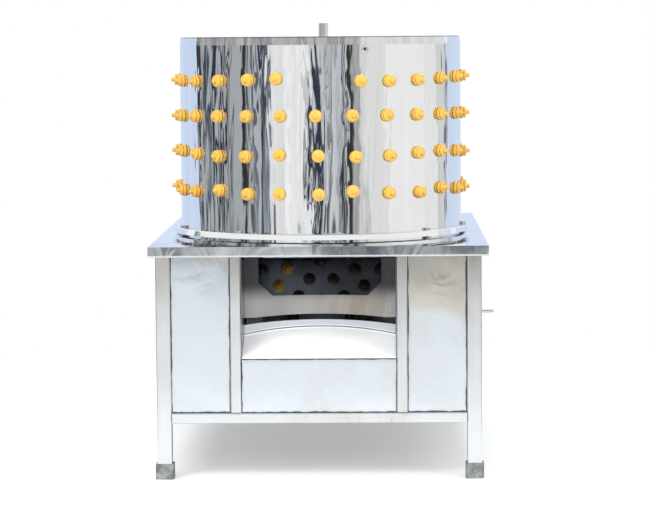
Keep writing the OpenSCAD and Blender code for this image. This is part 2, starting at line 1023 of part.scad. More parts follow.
module hub_fasteners() {
    nut_h = 6;
    af = 13;
    cap_af = 30;
    cap_h = 16;
    washer_t = 2.5;
    top = disc_z + disc_t;
    foot = disc_z - hub_t - nut_h - 2;
    color(zinc) {
        hub_bolt_places(foot)
            hex_bolt(hub_bolt_d, top - foot, af, 5.3);
        hub_bolt_places(disc_z - hub_t - nut_h)
            hex_nut(hub_bolt_d, af, nut_h);
        on_axis(top)
            difference() {
                cylinder(h = washer_t, d = cap_af + 8);
                translate([0, 0, -over])
                    cylinder(h = washer_t + 2 * over, d = thread_d + 4 * close);
            }
        on_axis(top + washer_t)
            hex_nut(thread_d, cap_af, cap_h);
    }
}

module main_shaft() {
    end_z = wheel_z - 4;
    color(zinc)
        difference() {
            union() {
                on_axis(end_z)
                    cylinder(h = wheel_top - end_z, d = seat_d);
                on_axis(wheel_top)
                    cylinder(h = disc_z - wheel_top, d = shaft_d);
                on_axis(housing_top + fit)
                    cylinder(h = cap_t, d = shoulder_d);
                on_axis(disc_z)
                    cylinder(h = disc_t + 20, d = thread_d);
            }
            keyway(hub_key_z - close, shaft_d, hub_key_l + over);
            keyway(wheel_key_z - close, seat_d, key_l + 2 * close);
        }
}

module shaft_keys() {
    color(zinc) {
        on_axis(hub_key_z)
            translate([-key_w / 2, shaft_d / 2 - key_h / 2 - 0.5, 0])
                cube([key_w, key_h, hub_key_l - close]);
        shaft_key(wheel_key_z, seat_d);
    }
}

// A grooved wheel with its axis on Z, its foot at z = 0
module pulley(r, bore_d, boss_d, web_t) {
    rim_r = r - groove_depth - 5;
    difference() {
        cylinder(h = pulley_w, r = r, $fn = 128);
        for (s = [-1, 1])
            translate([0, 0, pulley_w / 2 + s * groove_pitch / 2])
                rotate_extrude($fn = 128)
                    polygon([
                        for (p = [[0, -1], [groove_depth, -1], [groove_depth, 1], [0, 1]])
                            [r + close - p[0], p[1] * (belt_w / 2 + belt_slack - p[0] * groove_tan)]
                    ]);
        translate([0, 0, -over])
            cylinder(h = pulley_w + 2 * over, d = bore_d);
        if (rim_r > boss_d / 2 + web_t)
            for (z = [-over, (pulley_w + web_t) / 2])
                translate([0, 0, z])
                    difference() {
                        cylinder(h = (pulley_w - web_t) / 2 + over, r = rim_r, $fn = 128);
                        cylinder(h = pulley_w, d = boss_d);
                    }
    }
}

module driven_pulley() {
    color(dark)
        difference() {
            on_axis(wheel_z)
                pulley(driven_r, seat_d + 2 * close, 56, 8);
            keyway(wheel_z - over, seat_d, pulley_w + 2 * over);
        }
}

// Bearings and belts

module bearing_housing() {
    half = foot_plate_w / 2;
    lip = bearing_d - 14;
    color(dark)
        difference() {
            union() {
                slab(-half, half, axis_y - half, axis_y + half, beam_top, beam_top + housing_foot_t);
                on_axis(beam_top)
                    cylinder(h = housing_h, d = housing_d);
            }
            on_axis(beam_top - over)
                cylinder(h = housing_h + 2 * over, d = lip);
            on_axis(beam_top - over)
                cylinder(h = over + bearing_rise + bearing_h, d = bearing_d + 2 * close);
            on_axis(housing_top - bearing_h)
                cylinder(h = bearing_h + over, d = bearing_d + 2 * close);
            for (x = [-beam_y, beam_y])
                for (y = [-beam_y, beam_y])
                    translate([x, axis_y + y, beam_top - over])
                        cylinder(h = housing_foot_t + 2 * over, d = plate_bolt_d + 2 * fit);
        }
}

module bearings() {
    color(zinc)
        for (z = [beam_top + bearing_rise, housing_top - bearing_h])
            on_axis(z)
                difference() {
                    cylinder(h = bearing_h, d = bearing_d);
                    translate([0, 0, -over])
                        cylinder(h = bearing_h + 2 * over, d = shaft_d + 2 * close);
                }
}

module housing_cap() {
    color(dark)
        difference() {
            on_axis(housing_top)
                cylinder(h = cap_t, d = housing_d);
            on_axis(housing_top - over)
                cylinder(h = cap_t + 2 * over, d = shoulder_d + 4);
        }
}

module housing_bolts() {
    af = 13;
    nut_h = 6;
    color(zinc)
        for (x = [-beam_y, beam_y])
            for (y = [-beam_y, beam_y])
                translate([x, axis_y + y, 0]) {
                    translate([0, 0, mid_rail_z - nut_h - 1])
                        hex_bolt(plate_bolt_d, rail_w + housing_foot_t + nut_h + 1, af, 5.3);
                    translate([0, 0, mid_rail_z - nut_h])
                        hex_nut(plate_bolt_d, af, nut_h);
                }
}

// Outline of a belt: X is the distance from the wheel's axis, Y is along that axis
function belt_outline(r) = [
    for (p = [[0, -1], [belt_h, -1], [belt_h, 1], [0, 1]])
        [r - belt_sink - p[0], p[1] * (belt_w / 2 - p[0] * groove_tan)]
];

module drive_belts() {
    lean = acos((driven_r - drive_r) / motor_gap);
    run = sqrt(pow(motor_gap, 2) - pow(driven_r - drive_r, 2));
    color(dark)
        for (s = [-1, 1])
            on_axis(wheel_z + pulley_w / 2 + s * groove_pitch / 2) {
                rotate(90 + lean)
                    rotate_extrude(angle = 360 - 2 * lean, $fn = 128)
                        polygon(belt_outline(driven_r));
                translate([0, motor_gap, 0])
                    rotate(90 - lean)
                        rotate_extrude(angle = 2 * lean, $fn = 128)
                            polygon(belt_outline(drive_r));
                for (m = [0, 1])
                    mirror([m, 0, 0])
                        rotate(90 - lean)
                            translate([0, run, 0])
                                rotate([90, 0, 0])
                                    linear_extrude(run)
                                        polygon(belt_outline(driven_r));
            }
}

// Motor

module at_motor(z = 0) {
    translate([0, motor_y, z])
        children();
}

module flange_bolt_places(z) {
    for (i = [0 : 3])
        at_motor(z)
            rotate(90 * i)
                translate([flange_bolt_pc / 2, 0, 0])
                    children();
}

module plate_bolt_places(z) {
    for (x = [-1, 1])
        for (y = [-1, 1])
            at_motor(z)
                translate([x * (plate_w / 2 - 20), y * motor_beam_y, 0])
                    children();
}

module motor_plate() {
    slot = 16;
    color(dark)
        difference() {
            slab(-plate_w / 2, plate_w / 2, motor_y - plate_d / 2, motor_y + plate_d / 2,
                 mid_rail_z - plate_t, mid_rail_z);
            at_motor(mid_rail_z - plate_t - over)
                cylinder(h = plate_t + 2 * over, d = 2 * motor_shaft_d);
            flange_bolt_places(mid_rail_z - plate_t - over)
                cylinder(h = plate_t + 2 * over, d = plate_bolt_d + 2 * fit);
            plate_bolt_places(mid_rail_z - plate_t - over)
                translate([-plate_bolt_d / 2 - fit, -slot / 2, 0])
                    cube([plate_bolt_d + 2 * fit, slot, plate_t + 2 * over]);
        }
}

module motor_bolts() {
    af = 13;
    nut_h = 6;
    under = mid_rail_z - plate_t;
    color(zinc) {
        flange_bolt_places(under - nut_h - 1)
            hex_bolt(plate_bolt_d, plate_t + shield_t + nut_h + 1, af, 5.3);
        flange_bolt_places(under - nut_h)
            hex_nut(plate_bolt_d, af, nut_h);
        plate_bolt_places(under - nut_h - 1)
            hex_bolt(plate_bolt_d, plate_t + rail_w + nut_h + 1, af, 5.3);
        plate_bolt_places(under - nut_h)
            hex_nut(plate_bolt_d, af, nut_h);
    }
}

module motor_shield() {
    color(motor_paint)
        difference() {
            at_motor(mid_rail_z)
                cylinder(h = shield_t, d = motor_flange_d, $fn = 128);
            at_motor(mid_rail_z - over)
                cylinder(h = shield_t + 2 * over, d = motor_shaft_d + 2 * close);
            flange_bolt_places(mid_rail_z - over)
                cylinder(h = shield_t + 2 * over, d = plate_bolt_d + 2 * fit);
        }
}

module motor_housing() {
    fin_t = 3;
    fin_foot = 16;
    fin_l = housing_l - fin_foot - 2;
    color(motor_paint)
        difference() {
            union() {
                at_motor(shield_z)
                    cylinder(h = housing_l, d = can_d, $fn = 128);
                for (i = [0 : fin_n - 1])
                    at_motor(shield_z + fin_foot)
                        rotate((i + 0.5) * 360 / fin_n)
                            translate([can_d / 2 - 2, -fin_t / 2, 0])
                                cube([(fin_d - can_d) / 2 + 2, fin_t, fin_l]);
            }
            at_motor(shield_z - over)
                cylinder(h = housing_l - end_t + over, d = bore_d);
            at_motor(can_top - end_t - over)
                cylinder(h = end_t + 2 * over, d = motor_shaft_d + 2 * close);
        }
}

module fan_cover() {
    wall = 1.5;
    outer = fin_d + 2 * fit + 2 * wall;
    foot = can_top - cover_lap;
    slots = 5;
    slot_w = 5;
    color(motor_paint)
        difference() {
            at_motor(foot)
                cylinder(h = fan_cover_h + cover_lap, d = outer, $fn = 128);
            at_motor(foot - over)
                cylinder(h = fan_cover_h + cover_lap - wall + over, d = outer - 2 * wall, $fn = 128);
            for (i = [0 : slots - 1])
                at_motor(can_top + fan_cover_h - 2 * wall)
                    translate([-fin_d / 3, (i - (slots - 1) / 2) * 3 * slot_w - slot_w / 2, 0])
                        cube([2 * fin_d / 3, slot_w, 4 * wall]);
        }
}

module motor_fan() {
    hub = motor_shaft_d + 14;
    blades = 6;
    blade_h = 22;
    color(dark)
        difference() {
            at_motor(can_top + 6) {
                cylinder(h = blade_h, d = hub);
                for (i = [0 : blades - 1])
                    rotate(i * 360 / blades)
                        translate([hub / 2 - 2, -1, 2])
                            cube([fin_d / 2 - hub / 2 - 8, 2, blade_h - 4]);
            }
            at_motor(can_top)
                cylinder(h = 2 * blade_h, d = motor_shaft_d + 2 * close);
        }
}

module terminal_box() {
    depth = 42;
    half_y = 45;
    half_z = 40;
    lid_t = 4;
    x = -fin_d / 2 - fit;
    z = shield_z + housing_l / 2;
    color(motor_paint) {
        difference() {
            slab(x - depth, x, motor_y - half_y, motor_y + half_y, z - half_z, z + half_z);
            slab(x - depth - over, x - 3, motor_y - half_y + 3, motor_y + half_y - 3,
                 z - half_z + 3, z + half_z - 3);
        }
        slab(x - depth - lid_t, x - depth, motor_y - half_y - 1, motor_y + half_y + 1,
             z - half_z - 1, z + half_z + 1);
    }
}

module motor_shaft() {
    foot = wheel_z - 3;
    core_z = shield_z + 18;
    color(zinc) {
        at_motor(foot)
            cylinder(h = can_top + 30 - foot, d = motor_shaft_d);
        at_motor(core_z)
            cylinder(h = housing_l - end_t - 36, d = bore_d - 2 * air_gap, $fn = 128);
    }
}

module drive_pulley() {
    color(dark)
        at_motor(wheel_z)
            pulley(drive_r, motor_shaft_d + 2 * close, 2 * drive_r, 8);
}

// Switch, gland and stud

module switch_box() {
    y = switch_half_y;
    z = switch_half_z;
    wall = 2;
    color(dark)
        translate([0, switch_y, switch_z])
            difference() {
                union() {
                    slab(face_x - bezel_t, face_x, -y - bezel_lip, y + bezel_lip,
                         -z - bezel_lip, z + bezel_lip);
                    slab(face_x - over, face_x + switch_depth, -y, y, -z, z);
                }
                slab(face_x, face_x + switch_depth - wall, -y + wall, y - wall, -z + wall, z - wall);
                for (s = [-1, 1])
                    translate([face_x - bezel_t - over, 0, s * button_gap / 2])
                        rotate([0, 90, 0])
                            cylinder(h = bezel_t + 2 * over, d = button_d + 2 * fit);
            }
}

module push_button(s) {
    stem_l = 16;
    stop_t = 3;
    translate([face_x, switch_y, switch_z + s * button_gap / 2])
        rotate([0, 90, 0]) {
            translate([0, 0, -bezel_t - button_out])
                cylinder(h = button_out + bezel_t + fit + stop_t, d = button_d);
            translate([0, 0, fit])
                cylinder(h = stop_t, d = button_d + 5);
            cylinder(h = stem_l, d = button_d / 2);
        }
}

module start_button() {
    color([0.15, 0.55, 0.25])
        push_button(1);
}

module stop_button() {
    color([0.75, 0.12, 0.10])
        push_button(-1);
}

module cable_gland() {
    y = -front_y - panel_inset;
    body_d = gland_bore + 7;
    hex_t = 6;
    nose = 6;
    nut_t = 5;
    color(dark)
        translate([-gland_x, y, gland_z])
            rotate([-90, 0, 0])
                difference() {
                    union() {
                        translate([0, 0, -panel_t - nut_t - 3])
                            cylinder(h = panel_t + nut_t + 3 + hex_t, d = body_d);
                        cylinder(h = hex_t, d = body_d + 8, $fn = 6);
                        translate([0, 0, hex_t])
                            cylinder(h = nose, d1 = body_d + 3, d2 = body_d - 1);
                        translate([0, 0, -panel_t - nut_t])
                            cylinder(h = nut_t, d = body_d + 8, $fn = 6);
                    }
                    translate([0, 0, -2 * nut_t - panel_t])
                        cylinder(h = 4 * nut_t + 2 * hex_t, d = gland_bore);
                }
}

module earth_stud() {
    color(zinc)
        translate([frame_w / 2, front_y + leg_w / 2, stud_z])
            rotate([0, 90, 0]) {
                cylinder(h = stud_l - 1, d = stud_d);
                translate([0, 0, stud_l - 1])
                    cylinder(h = 1, d1 = stud_d, d2 = stud_d - 1.6);
            }
}

front_left_leg();
front_right_leg();
rear_left_leg();
rear_right_leg();
feet();
front_rail();
rear_rail();
side_rails();
front_posts();
top_rails();
mid_rails();
drive_beams();
motor_beams();
table_top();
front_left_panel();
front_right_panel();
front_lower_panel();
left_panel();
right_panel();
rear_panel();
chute_floor();
chute_sides();
chute_back();
feather_slide();
chamber_wall();
drum();
base_ring();
flange_spacers();
drum_bolts();
drum_fingers_1();
drum_fingers_2();
drum_fingers_3();
drum_fingers_4();
water_pipe();
rotor_disc();
disc_fingers();
disc_hub();
hub_fasteners();
main_shaft();
driven_pulley();
shaft_keys();
bearing_housing();
bearings();
housing_cap();
housing_bolts();
drive_belts();
motor_plate();
motor_bolts();
motor_shield();
motor_housing();
fan_cover();
motor_fan();
terminal_box();
motor_shaft();
drive_pulley();
switch_box();
start_button();
stop_button();
cable_gland();
earth_stud();
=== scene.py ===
"""Looks of a drum poultry plucker: polished and satin sheet steel, square tube, orange rubber fingers."""

import math

import bmesh
import bpy
from mathutils import Matrix, Vector


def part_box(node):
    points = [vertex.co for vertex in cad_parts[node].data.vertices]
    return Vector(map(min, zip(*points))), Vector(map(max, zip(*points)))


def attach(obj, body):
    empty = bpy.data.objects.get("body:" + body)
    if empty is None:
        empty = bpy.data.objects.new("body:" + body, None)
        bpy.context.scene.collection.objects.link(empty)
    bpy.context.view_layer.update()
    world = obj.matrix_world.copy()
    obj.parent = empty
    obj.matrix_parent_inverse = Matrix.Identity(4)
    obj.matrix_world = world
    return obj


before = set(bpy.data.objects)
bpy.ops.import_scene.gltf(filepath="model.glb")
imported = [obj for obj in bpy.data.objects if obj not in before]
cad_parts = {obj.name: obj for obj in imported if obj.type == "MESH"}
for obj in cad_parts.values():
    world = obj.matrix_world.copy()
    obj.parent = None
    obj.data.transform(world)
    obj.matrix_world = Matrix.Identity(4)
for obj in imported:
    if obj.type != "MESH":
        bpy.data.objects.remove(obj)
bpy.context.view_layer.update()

# Places taken from the frame, in metres
ROW_N = 25
ROWS = 4
drum_low, drum_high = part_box("drum")
table_low, table_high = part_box("table_top")
row_low, row_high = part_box("drum_fingers_1")
last_row_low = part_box(f"drum_fingers_{ROWS}")[0]
AXIS_Y = (drum_low.y + drum_high.y) / 2
RIM_Z = drum_high.z
FLANGE_W = 0.016
DRUM_R = (drum_high.x - drum_low.x) / 2 - FLANGE_W
ROW_PITCH = (row_low.z - last_row_low.z) / (ROWS - 1)
TOP_ROW_Z = (row_low.z + row_high.z) / 2
DISC_UNDER_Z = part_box("rotor_disc")[0].z
CHUTE_D = 0.122
CHUTE_RISE = 0.040
LIP_DROP = 0.192
LIP_Z = table_high.z - LIP_DROP
LIP_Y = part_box("chute_floor")[0].y
CHUTE_FOOT_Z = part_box("chute_back")[0].z

# Colours of the metal, and of what lies on it
STAINLESS = (0.86, 0.87, 0.88)
DRUM_STAIN = (0.80, 0.80, 0.79)
RIM_EDGE_SHADE = (0.34, 0.35, 0.36)
RING_STAIN = (0.74, 0.74, 0.73)
TABLE_STAIN = (0.70, 0.71, 0.72)
TABLE_FOLD_HIGHLIGHT = (0.62, 0.63, 0.65)
DISC = (0.62, 0.63, 0.65)
DISC_STAIN = (0.50, 0.49, 0.46)
TUBE = (0.80, 0.825, 0.845)
TUBE_STAIN = (0.68, 0.68, 0.65)
TUBE_SPECK = (0.34, 0.30, 0.25)
TUBE_WARM_REFLECTION = (0.56, 0.53, 0.47)
PANEL = (0.79, 0.845, 0.90)
PANEL_STAIN = (0.74, 0.77, 0.80)
PANEL_WARM_REFLECTION = (0.71, 0.69, 0.63)
PANEL_INSIDE_SHADE = (0.16, 0.165, 0.17)
# Grime on the panels' seams, and painted shade in the chute floor's corner and under its lip
GRIME_AND_SHADE = (0.11, 0.105, 0.095)
CHAMBER = (0.70, 0.71, 0.72)
CHAMBER_STAIN = (0.52, 0.50, 0.46)
CHUTE_BACK = (0.56, 0.555, 0.54)
CHUTE_BACK_STAIN = (0.36, 0.31, 0.24)
CHUTE_BACK_SHADE = (0.085, 0.087, 0.09)
# The chute's sides: a dark colour as painted shade inside the chute
CHUTE_SIDE_SHADED = (0.30, 0.32, 0.35)
CHUTE_SIDE_STAIN = (0.20, 0.195, 0.19)
CHUTE_FLOOR = (0.97, 0.97, 0.98)
CHUTE_FLOOR_STAIN = (0.91, 0.92, 0.93)
# The chute floor's upstand: a bluish grey as painted shade
CHUTE_UPSTAND_SHADE = (0.54, 0.57, 0.61)
SLIDE = (0.46, 0.48, 0.52)
SLIDE_STAIN = (0.30, 0.30, 0.31)

# Colours of the rubber, and of what lies on it
RUBBER = (0.74, 0.435, 0.08)
# Two tones of painted shade on the finger heads under the disc
HEAD_SHADE_DARK = (0.030, 0.028, 0.022)
HEAD_SHADE_OLIVE = (0.085, 0.072, 0.045)
FOOT = (0.13, 0.135, 0.135)
FOOT_DUST = (0.34, 0.35, 0.35)

# How a grain is scaled along X, Y and Z; a small number draws it out along that axis
EVEN = (1, 1, 1)
UPRIGHT = (1, 1, 0.01)
ALONG_X = (0.01, 1, 1)
ALONG_Y = (1, 0.01, 1)


def grey(level, warmth=0.0):
    return (level * (1 + warmth), level, level * (1 - warmth))


def darker(color, share):
    return tuple(share * part for part in color)


# Materials

def fill(node, values):
    """Sets a node's inputs by name."""
    for name, value in values.items():
        node.inputs[name].default_value = value


class Tree:
    """The node tree of a material or a world, to which nodes are added one call at a time."""

    def __init__(self, owner):
        owner.use_nodes = True
        self.tree = owner.node_tree

    def node(self, kind, *sources, **settings):
        """A new node whose first inputs are linked to the sources."""
        made = self.tree.nodes.new(kind)
        for key, value in settings.items():
            setattr(made, key, value)
        for source, slot in zip(sources, made.inputs):
            self.link(source, slot)
        return made

    def link(self, source, target):
        self.tree.links.new(source, target)

    def math(self, operation, *values):
        """A sum over numbers and sockets."""
        made = self.node("ShaderNodeMath", operation=operation)
        for slot, value in zip(made.inputs, values):
            if isinstance(value, (int, float)):
                slot.default_value = value
            else:
                self.link(value, slot)
        return made.outputs[0]

    def distance(self, across, along):
        """The length of a flat vector."""
        squares = self.math("ADD", self.math("POWER", across, 2), self.math("POWER", along, 2))
        return self.math("SQRT", squares)

    def split(self, place):
        """The X, Y and Z of a place."""
        return tuple(self.node("ShaderNodeSeparateXYZ", place).outputs)

    def noise(self, place, scale, stretch=EVEN, detail=2.0, rough=0.5, twist=0.0):
        mapped = self.node("ShaderNodeMapping", place)
        fill(mapped, {"Scale": stretch})
        made = self.node("ShaderNodeTexNoise", mapped.outputs[0])
        fill(made, {"Scale": scale, "Detail": detail, "Roughness": rough, "Distortion": twist})
        return made.outputs[0]

    def spread(self, value, low=0.0, high=1.0, start=0.3, end=0.7, smooth=False):
        """Maps a value from start..end to low..high, and holds it there."""
        made = self.node("ShaderNodeMapRange", value)
        made.interpolation_type = "SMOOTHSTEP" if smooth else "LINEAR"
        fill(made, {"From Min": start, "From Max": end, "To Min": low, "To Max": high})
        return made.outputs[0]

    def mix(self, factor, first, second):
        """A colour between two colours or colour sockets."""
        made = self.node("ShaderNodeMix", factor, data_type="RGBA")
        for slot, value in ((made.inputs[6], first), (made.inputs[7], second)):
            if isinstance(value, tuple):
                slot.default_value = (*value, 1.0)
            else:
                self.link(value, slot)
        return made.outputs[2]

    def seen_directly(self):
        """One for camera, mirror and glass rays, and zero for soft light."""
        path = self.node("ShaderNodeLightPath").outputs
        mirrored = self.math("MAXIMUM", path["Is Camera Ray"], path["Is Glossy Ray"])
        return self.math("MAXIMUM", mirrored, path["Is Transmission Ray"])


class Finish(Tree):
    """A Principled material whose colour is laid on in layers."""

    def __init__(self, name, color, metallic, rough):
        self.material = bpy.data.materials.new(name)
        super().__init__(self.material)
        self.shader = self.tree.nodes["Principled BSDF"]
        self.color = color
        fill(self.shader, {"Base Color": (*color, 1.0), "Metallic": metallic, "Roughness": rough})
        self.place = self.node("ShaderNodeTexCoord").outputs["Object"]

    def drive(self, socket, source):
        self.link(source, self.shader.inputs[socket])

    def grain(self, scale, stretch=EVEN, **settings):
        """Noise over the object's own place."""
        return self.noise(self.place, scale, stretch, **settings)

    def cover(self, mask, color):
        """Lays a colour over the present one, as far as the mask says."""
        self.color = self.mix(mask, self.color, color)
        self.drive("Base Color", self.color)

    def bump(self, height, distance, strength=1.0, under=None):
        made = self.node("ShaderNodeBump")
        fill(made, {"Distance": distance, "Strength": strength})
        self.link(height, made.inputs["Height"])
        if under is not None:
            self.link(under, made.inputs["Normal"])
        return made.outputs[0]


# Radii between which a dimple of the drum rises, and depths below the rim between which painted shade darkens
# its edge
DIMPLE_INNER_R = 0.009
DIMPLE_OUTER_R = 0.024
RIM_EDGE_START = 0.0022
RIM_EDGE_FULL = 0.0012


def drum_finish():
    """Mirror-polished sheet with long upright waves and a dimple round each finger hole."""
    made = Finish("drum_polish", STAINLESS, metallic=1.0, rough=0.05)
    x, y, height = made.split(made.place)
    angle = made.math("ARCTAN2", x, made.math("SUBTRACT", AXIS_Y, y))
    joined = made.node("ShaderNodeCombineXYZ", made.math("MULTIPLY", angle, DRUM_R))
    made.link(height, joined.inputs["Z"])
    unrolled = joined.outputs[0]
    column = made.math("PINGPONG", made.math("MULTIPLY", angle, ROW_N / math.tau), 0.5)
    depth = made.math("DIVIDE", made.math("SUBTRACT", TOP_ROW_Z, height), ROW_PITCH)
    depth = made.math("MINIMUM", made.math("MAXIMUM", depth, -0.5), ROWS - 0.5)
    across = made.math("MULTIPLY", column, math.tau * DRUM_R / ROW_N)
    along = made.math("MULTIPLY", made.math("PINGPONG", depth, 0.5), ROW_PITCH)
    away = made.distance(across, along)
    swell = made.noise(unrolled, 5.0, (1, 1, 0.22), detail=1.0, rough=0.4, twist=0.4)
    ripple = made.noise(unrolled, 17.0, (1, 1, 0.16), twist=0.6)
    crease = made.noise(unrolled, 44.0, (1, 1, 0.10), twist=0.8)
    dimple = made.spread(away, start=DIMPLE_INNER_R, end=DIMPLE_OUTER_R, smooth=True)
    normal = made.bump(swell, distance=0.008)
    normal = made.bump(ripple, distance=0.0024, under=normal)
    normal = made.bump(crease, distance=0.00030, under=normal)
    normal = made.bump(dimple, distance=0.00018, under=normal)
    made.drive("Normal", normal)
    smear = made.noise(unrolled, 9.0, (1, 1, 0.35), detail=4.0, rough=0.6, twist=0.3)
    made.drive("Roughness", made.spread(smear, 0.02, 0.07))
    stain = made.noise(unrolled, 3.0, (1, 1, 0.5), detail=3.0, rough=0.6)
    made.cover(made.spread(stain, start=0.45, end=0.75), DRUM_STAIN)
    # Painted shade: a dark line along the top edge of the rim
    edge = made.spread(height, start=RIM_Z - RIM_EDGE_START, end=RIM_Z - RIM_EDGE_FULL, smooth=True)
    made.cover(edge, RIM_EDGE_SHADE)
    return made.material


def sheet_finish(name, color, tint, rough, wave, crease, lengthwise=EVEN, metallic=1.0):
    """Rolled sheet: shallow waves, a few creases, fine rolling grain and a faint stain."""
    made = Finish(name, color, metallic, rough)
    swell = made.grain(6.0, detail=1.0, rough=0.4, twist=0.5)
    fold = made.grain(21.0, (1, 1, 0.6), rough=0.55, twist=1.2)
    line = made.grain(900.0, lengthwise, rough=0.6)
    normal = made.bump(swell, wave)
    normal = made.bump(fold, crease, under=normal)
    normal = made.bump(line, distance=0.00001, strength=0.5, under=normal)
    made.drive("Normal", normal)
    smear = made.grain(11.0, (1, 1, 0.5), detail=4.0, rough=0.6, twist=0.4)
    made.drive("Roughness", made.spread(smear, rough * 0.7, rough * 1.4))
    stain = made.grain(4.5, (1, 1, 0.7), detail=4.0, rough=0.65, twist=0.6)
    made.cover(made.spread(stain, start=0.48, end=0.72), tint)
    return made


# A panel's painted warm reflection slants and wanders, and with both added to the height it starts and is
# full here
REFLECTION_SLANT = 0.25
REFLECTION_WANDER = 0.10
REFLECTION_START = 0.365
REFLECTION_END = 0.392


def panel_finish(node, reflection_share):
    """Satin panel: a painted warm reflection at its top, grime along its edges by the frame, and painted
    shade on its inner side.
    """
    made = sheet_finish(node + "_satin", PANEL, PANEL_STAIN, 0.13, 0.0022, 0.00028, UPRIGHT)
    low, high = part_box(node)
    size = high - low
    place = made.split(made.place)
    thin = min(range(3), key=lambda axis: size[axis])
    sides = []
    for axis in range(3):
        if axis != thin:
            from_low = made.math("SUBTRACT", place[axis], low[axis])
            from_high = made.math("SUBTRACT", high[axis], place[axis])
            sides.append(made.math("MINIMUM", from_low, from_high))
    ragged = made.grain(70.0, (1, 1, 0.4), detail=3.0, rough=0.6)
    uneven = made.spread(ragged, 0.0, 0.0022, start=0.35, end=0.75)
    inner = made.math("SUBTRACT", made.math("MINIMUM", *sides), uneven)
    line = made.spread(inner, 1.0, 0.0, start=0.0003, end=0.0015, smooth=True)
    halo = made.spread(inner, 0.08, 0.0, start=0.0, end=0.008, smooth=True)
    drift = made.grain(7.0, (1, 1, 0.7), detail=3.0, rough=0.55, twist=0.5)
    reach = made.math("MULTIPLY_ADD", place[0], REFLECTION_SLANT, place[2])
    reach = made.math("MULTIPLY_ADD", drift, REFLECTION_WANDER, reach)
    middle = abs(low[thin] + high[thin]) / 2
    # Painted reflection: a warm tone over the panel's upper part
    made.cover(made.spread(reach, 0.0, reflection_share, REFLECTION_START, REFLECTION_END, smooth=True), PANEL_WARM_REFLECTION)
    made.cover(made.math("MAXIMUM", line, halo), GRIME_AND_SHADE)
    # Painted shade: the panel's inner side is dark
    made.cover(made.math("LESS_THAN", made.math("ABSOLUTE", place[thin]), middle), PANEL_INSIDE_SHADE)
    return made.material


def tube_finish(name, lengthwise):
    """Belt-ground square tube: lines along it, soft waves, brown stains and specks, and a painted warm
    reflection near the top.
    """
    made = Finish(name, TUBE, metallic=1.0, rough=0.2)
    line = made.grain(420.0, lengthwise, detail=3.0, rough=0.6)
    wave = made.grain(14.0, detail=1.0, twist=0.3)
    normal = made.bump(wave, distance=0.0006)
    normal = made.bump(line, distance=0.00002, strength=0.6, under=normal)
    made.drive("Normal", normal)
    made.drive("Roughness", made.spread(line, 0.14, 0.25))
    stain = made.grain(8.0, (1, 1, 0.6), detail=4.0, rough=0.6, twist=0.5)
    speck = made.grain(75.0, (1, 1, 0.5), detail=3.0, rough=0.65, twist=0.4)
    height = made.split(made.place)[2]
    reach = made.math("MULTIPLY_ADD", stain, 0.16, height)
    made.cover(made.spread(stain, start=0.5, end=0.75), TUBE_STAIN)
    made.cover(made.spread(speck, 0.0, 0.7, start=0.66, end=0.78), TUBE_SPECK)
    # Painted reflection: a warm tone over the tube's upper part
    made.cover(made.spread(reach, 0.0, 0.75, start=0.34, end=0.47), TUBE_WARM_REFLECTION)
    return made.material


# Heights above the table's lower edge at which the fold's painted highlight starts to fade and ends
FOLD_FADE = 0.0022
FOLD_END = 0.0034


def table_finish():
    """Polished table sheet whose turned-down edge ends in a fold painted pale and less metallic, as a
    highlight.
    """
    made = sheet_finish("table_polish", STAINLESS, TABLE_STAIN, 0.07, 0.0022, 0.00030, ALONG_Y)
    height = made.split(made.place)[2]
    # Painted highlight: the fold along the lower edge is pale and less metallic
    fold = made.spread(height, 1.0, 0.0, table_low.z + FOLD_FADE, table_low.z + FOLD_END, smooth=True)
    made.cover(fold, TABLE_FOLD_HIGHLIGHT)
    made.drive("Metallic", made.spread(fold, 1.0, 0.35, start=0.0, end=1.0))
    return made.material


# Heights above the foot of the chute's back between which painted shade takes it from bright to dark
BACK_BRIGHT = 0.022
BACK_DARK = 0.060


def chute_back_finish():
    """Dull sheet with brown stains, bright along its foot and darkened above it by painted shade."""
    made = sheet_finish("chute_dull", CHUTE_BACK, CHUTE_BACK_STAIN, 0.32, 0.002, 0.0008, ALONG_X)
    height = made.split(made.place)[2]
    shade = made.spread(height, 0.0, 1.0, CHUTE_FOOT_Z + BACK_BRIGHT, CHUTE_FOOT_Z + BACK_DARK, smooth=True)
    made.cover(shade, CHUTE_BACK_SHADE)
    return made.material


def chute_floor_finish():
    """Pale worn sheet, with painted shade in the corner under the rear upstand and along the lip's fold, and
    its upstand painted a bluish shade.
    """
    made = sheet_finish("chute_white", CHUTE_FLOOR, CHUTE_FLOOR_STAIN, 0.42, 0.002, 0.0004, ALONG_X, 0.0)
    _, y, z = made.split(made.place)
    behind = made.math("SUBTRACT", y, LIP_Y)
    above = made.math("SUBTRACT", z, made.math("MULTIPLY_ADD", behind, CHUTE_RISE / CHUTE_D, LIP_Z))
    # Painted shade in the corner under the rear upstand
    corner_low = made.spread(above, start=0.0006, end=0.0012)
    corner_high = made.spread(above, 1.0, 0.0, start=0.0024, end=0.0036)
    corner = made.math("MULTIPLY", corner_low, corner_high)
    upstand = made.spread(above, start=0.0036, end=0.005)
    front = made.spread(behind, 1.0, 0.0, start=0.0002, end=0.0005)
    ragged = made.spread(made.grain(60.0, detail=3.0, rough=0.6), 0.0, 0.001)
    fold = made.math("SUBTRACT", made.math("SUBTRACT", LIP_Z, z), ragged)
    # Painted shadow: a dark line along the lip's fold
    under = made.math("MULTIPLY", front, made.spread(fold, 1.0, 0.0, start=0.0012, end=0.0022))
    # Painted shade: the upstand is given a bluish grey
    made.cover(upstand, CHUTE_UPSTAND_SHADE)
    made.cover(front, PANEL)
    made.cover(made.math("MAXIMUM", corner, under), GRIME_AND_SHADE)
    made.drive("Metallic", front)
    return made.material


